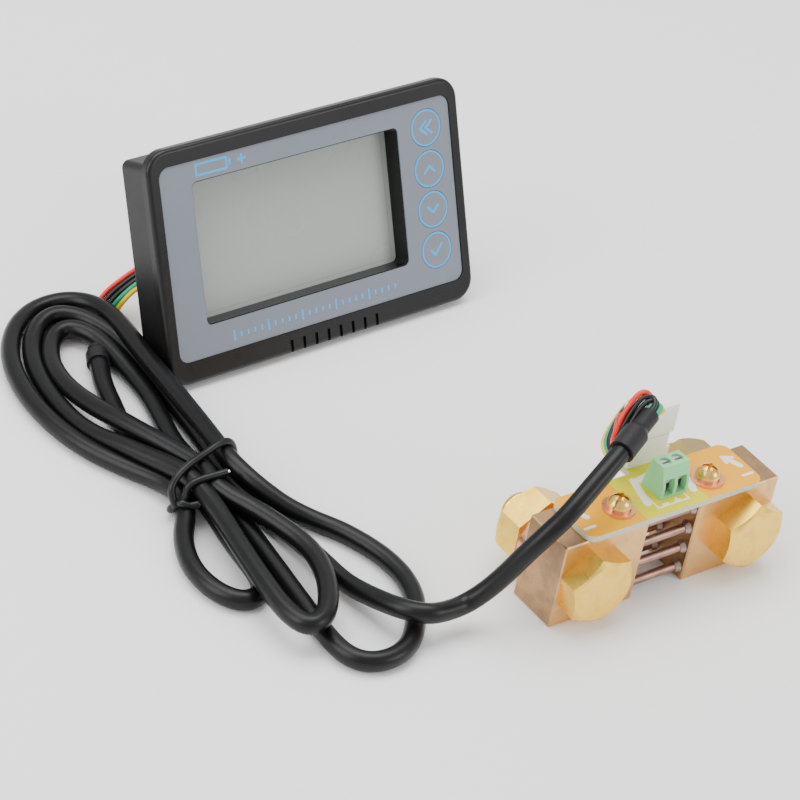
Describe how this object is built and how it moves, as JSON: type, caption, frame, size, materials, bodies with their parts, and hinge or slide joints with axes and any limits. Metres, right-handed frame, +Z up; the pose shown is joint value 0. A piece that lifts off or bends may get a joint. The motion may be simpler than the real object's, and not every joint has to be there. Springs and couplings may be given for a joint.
{
  "type": "battery monitor shunt",
  "caption": "Brass current shunt with a sense board, bolted terminals and rods, joined by a tied screened cable to a panel battery meter with a grey display and round keys.",
  "frame": {"origin": "centre of the underside of the shunt's left brass block, on the table", "axes": "+X along the shunt to its right block, +Y back from the bolt heads' side towards the meter, +Z up"},
  "size_m": [0.1394, 0.1662, 0.0587],
  "materials": {
    "block_brass": "sandblasted brass",
    "bolt_brass": "polished brass",
    "copper": "plain copper",
    "rod_alloy": "drawn copper-manganese alloy",
    "solder": "solder",
    "board_printed": "glass-epoxy board with printed film",
    "board_green": "glass-epoxy board, solder mask",
    "chip_black": "moulded epoxy",
    "screw_brass": "polished brass",
    "terminal_green": "moulded nylon",
    "plated_steel": "zinc plated",
    "tin": "tinned",
    "connector_white": "moulded nylon",
    "shell_black": "fine spark-eroded texture",
    "film_grey": "printed polycarbonate film",
    "lcd_grey": "glass with polariser",
    "backlight_white": "moulded acrylic",
    "jacket_black": "satin PVC",
    "sleeve_black": "shrunk polyolefin",
    "tie_black": "plastic over steel wire",
    "wire_red": "PVC",
    "wire_black": "PVC",
    "wire_green": "PVC",
    "wire_yellow": "PVC"
  },
  "bodies": {
    "shunt_and_meter": {"left_block": "block_brass", "right_block": "block_brass", "resistance_rods": "rod_alloy", "solder_fillets": "solder", "left_bolt": "bolt_brass", "right_bolt": "bolt_brass", "flat_washers_m10": "copper", "sense_board": "board_printed", "sense_components": "chip_black", "board_flat_washers": "copper", "board_spring_washers": "copper", "board_screws": "screw_brass", "terminal_body": "terminal_green", "terminal_pins": "tin", "shunt_header": "connector_white", "shunt_header_pins": "tin", "shunt_plug": "connector_white", "shunt_plug_contacts": "tin", "meter_header": "connector_white", "meter_header_pins": "tin", "meter_plug": "connector_white", "meter_plug_contacts": "tin", "front_bezel": "shell_black", "rear_housing": "shell_black", "overlay_film": "film_grey", "key_switches": "chip_black", "lcd_glass": "lcd_grey", "lcd_backlight": "backlight_white", "meter_board": "board_green", "meter_board_screws": "plated_steel", "meter_chips": "chip_black", "cable_hank": "jacket_black", "cable_to_shunt": "jacket_black", "cable_to_meter": "jacket_black", "shunt_sleeve": "sleeve_black", "meter_sleeve": "sleeve_black", "twist_tie": "tie_black", "shunt_wire_red": "wire_red", "shunt_wire_black": "wire_black", "shunt_wire_bare_black": "wire_black", "shunt_wire_green": "wire_green", "shunt_wire_yellow": "wire_yellow", "meter_wire_red": "wire_red", "meter_wire_black": "wire_black", "meter_wire_bare_black": "wire_black", "meter_wire_green": "wire_green", "meter_wire_yellow": "wire_yellow"},
    "left_spring_washer": {"left_spring_washer": "copper"},
    "right_spring_washer": {"right_spring_washer": "copper"},
    "left_nut": {"left_nut": "bolt_brass"},
    "right_nut": {"right_nut": "bolt_brass"},
    "terminal_screw_left": {"terminal_screw_left": "plated_steel"},
    "terminal_screw_right": {"terminal_screw_right": "plated_steel"},
    "terminal_clamp_left": {"terminal_clamp_left": "plated_steel"},
    "terminal_clamp_right": {"terminal_clamp_right": "plated_steel"},
    "back_key": {"back_key": "film_grey"},
    "up_key": {"up_key": "film_grey"},
    "down_key": {"down_key": "film_grey"},
    "ok_key": {"ok_key": "film_grey"}
  },
  "joints": [
    {"name": "left_washer_slide", "type": "slide", "parent": "shunt_and_meter", "child": "left_spring_washer", "axis": [0, 1, 0], "range_m": [0, 0.003]},
    {"name": "left_nut_turn", "type": "hinge", "parent": "left_spring_washer", "child": "left_nut", "pos_m": [-0.00325, 0.0148, 0.0122], "axis": [0, 1, 0], "range_deg": [0, 720]},
    {"name": "right_washer_slide", "type": "slide", "parent": "shunt_and_meter", "child": "right_spring_washer", "axis": [0, 1, 0], "range_m": [0, 0.003]},
    {"name": "right_nut_turn", "type": "hinge", "parent": "right_spring_washer", "child": "right_nut", "pos_m": [0.04475, 0.0148, 0.0122], "axis": [0, 1, 0], "range_deg": [0, 720]},
    {"name": "terminal_screw_left_turn", "type": "hinge", "parent": "shunt_and_meter", "child": "terminal_screw_left", "pos_m": [0.02054, 0.0001, 0.0322], "axis": [0, 0, 1], "range_deg": [-720, 0]},
    {"name": "terminal_clamp_left_lift", "type": "slide", "parent": "shunt_and_meter", "child": "terminal_clamp_left", "axis": [0, 0, 1], "range_m": [0, 0.0008]},
    {"name": "terminal_screw_right_turn", "type": "hinge", "parent": "shunt_and_meter", "child": "terminal_screw_right", "pos_m": [0.02436, 0.0001, 0.0322], "axis": [0, 0, 1], "range_deg": [-720, 0]},
    {"name": "terminal_clamp_right_lift", "type": "slide", "parent": "shunt_and_meter", "child": "terminal_clamp_right", "axis": [0, 0, 1], "range_m": [0, 0.0008]},
    {"name": "back_key_press", "type": "slide", "parent": "shunt_and_meter", "child": "back_key", "axis": [-0.0388, 0.9224, -0.3843], "range_m": [0, 0.0003], "stiffness_N_per_m": 2000},
    {"name": "up_key_press", "type": "slide", "parent": "shunt_and_meter", "child": "up_key", "axis": [-0.0388, 0.9224, -0.3843], "range_m": [0, 0.0003], "stiffness_N_per_m": 2000},
    {"name": "down_key_press", "type": "slide", "parent": "shunt_and_meter", "child": "down_key", "axis": [-0.0388, 0.9224, -0.3843], "range_m": [0, 0.0003], "stiffness_N_per_m": 2000},
    {"name": "ok_key_press", "type": "slide", "parent": "shunt_and_meter", "child": "ok_key", "axis": [-0.0388, 0.9224, -0.3843], "range_m": [0, 0.0003], "stiffness_N_per_m": 2000}
  ],
  "couplings": [
    {"joint": "left_nut_turn", "follows": "left_washer_slide", "rad_per_m": 4188.8},
    {"joint": "right_nut_turn", "follows": "right_washer_slide", "rad_per_m": 4188.8},
    {"joint": "terminal_screw_left_turn", "follows": "terminal_clamp_left_lift", "rad_per_m": -15708},
    {"joint": "terminal_screw_right_turn", "follows": "terminal_clamp_right_lift", "rad_per_m": -15708}
  ]
}
